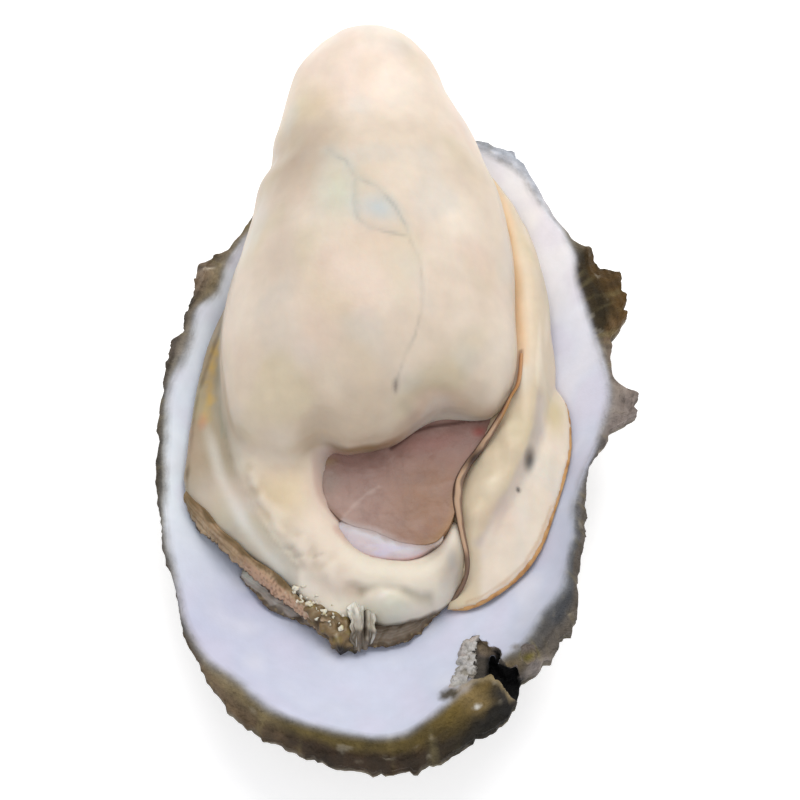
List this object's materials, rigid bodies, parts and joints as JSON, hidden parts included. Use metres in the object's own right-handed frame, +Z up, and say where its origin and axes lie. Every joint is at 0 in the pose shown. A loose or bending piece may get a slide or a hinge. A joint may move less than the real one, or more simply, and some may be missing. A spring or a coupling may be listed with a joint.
{
  "type": "oyster on the half shell",
  "caption": "Opened oyster lying in its cupped lower shell: plump pale body, pinkish closing muscle with a white band, soft mantle folds with a brown frilled edge, rough layered shell.",
  "frame": {"origin": "on the flat attachment scar under the cup, which the shell rests on", "axes": "+Z up and out of the cup, +Y along the shell towards its hinge end, +X to the right of someone looking down into the cup from its open end"},
  "size_m": [0.0801, 0.1334, 0.0422],
  "materials": {
    "shell": "satin white lining inside, rough brown and grey growth layers outside",
    "body_mass": "moist cream flesh",
    "adductor_muscle": "moist translucent pinkish brown flesh",
    "catch_muscle": "moist white flesh",
    "mantle_left": "moist translucent flesh with a brown frilled edge",
    "mantle_right": "moist cream flesh with a dark edge line",
    "mantle_lobe": "moist cream flesh with an orange brown rim",
    "mantle_lower": "moist grey brown flesh"
  },
  "bodies": {
    "root": {"shell": "shell", "body_mass": "body_mass", "adductor_muscle": "adductor_muscle", "catch_muscle": "catch_muscle", "mantle_left": "mantle_left", "mantle_right": "mantle_right", "mantle_lobe": "mantle_lobe", "mantle_lower": "mantle_lower"}
  },
  "joints": []
}
